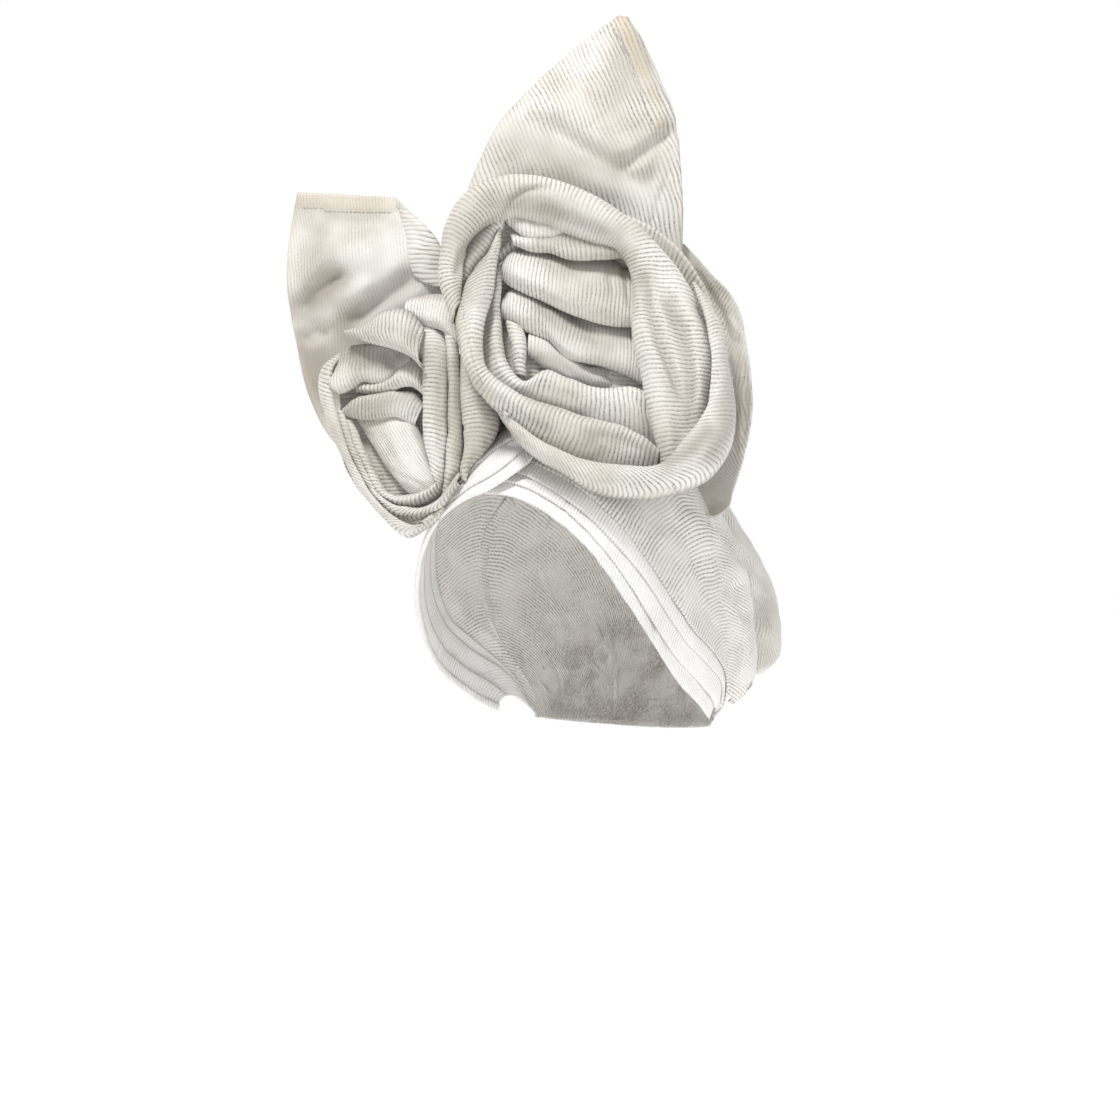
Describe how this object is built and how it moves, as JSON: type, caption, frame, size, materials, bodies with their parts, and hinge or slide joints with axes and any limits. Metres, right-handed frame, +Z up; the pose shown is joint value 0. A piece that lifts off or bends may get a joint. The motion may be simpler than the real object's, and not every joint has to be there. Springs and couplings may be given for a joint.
{
  "type": "tied gele head tie",
  "caption": "Stiff ribbed off-white gele head tie, wrapped over the crown with layered brow pleats, a large and a small folded rose, upright cloth leaves and a puff at the back.",
  "frame": {"origin": "top of the head, where the inside of the crown rests on it", "axes": "+Z up, the face looks along -Y, the wearer's left is +X; the flowers face 34 degrees from -Y towards +X"},
  "size_m": [0.2412, 0.2248, 0.3799],
  "materials": {
    "cloth": "stiff ribbed off-white cloth with a soft sheen",
    "brow_cloth": "the same ribbed cloth, brighter where it is pulled tight"
  },
  "bodies": {
    "root": {"back_puff": "cloth", "bridge_fold": "cloth", "brow_pleat_left_1": "brow_cloth", "brow_pleat_left_2": "brow_cloth", "brow_pleat_left_3": "brow_cloth", "brow_pleat_right_1": "brow_cloth", "brow_pleat_right_2": "brow_cloth", "brow_pleat_right_3": "brow_cloth", "crown_fold_left": "cloth", "crown_fold_right": "cloth", "crown_wrap": "cloth", "large_rose_bottom_roll": "cloth", "large_rose_cup": "cloth", "large_rose_fold_1": "cloth", "large_rose_fold_2": "cloth", "large_rose_fold_3": "cloth", "large_rose_heart": "cloth", "large_rose_hem_petal": "cloth", "large_rose_left_band": "cloth", "large_rose_loop": "cloth", "large_rose_lower_petal": "cloth", "large_rose_outer_roll": "cloth", "large_rose_top_petal": "cloth", "left_leaf": "cloth", "left_leaf_flap": "cloth", "rear_petal": "cloth", "small_rose_back_petal": "cloth", "small_rose_cup": "cloth", "small_rose_rim_1": "cloth", "small_rose_rim_2": "cloth", "small_rose_rim_3": "cloth", "small_rose_side_fold_1": "cloth", "small_rose_side_fold_2": "cloth", "small_rose_side_fold_3": "cloth", "small_rose_spear": "cloth", "small_rose_tongue": "cloth", "small_rose_top_flap": "cloth", "small_rose_upper_petal": "cloth", "tall_leaf": "cloth"}
  },
  "joints": []
}
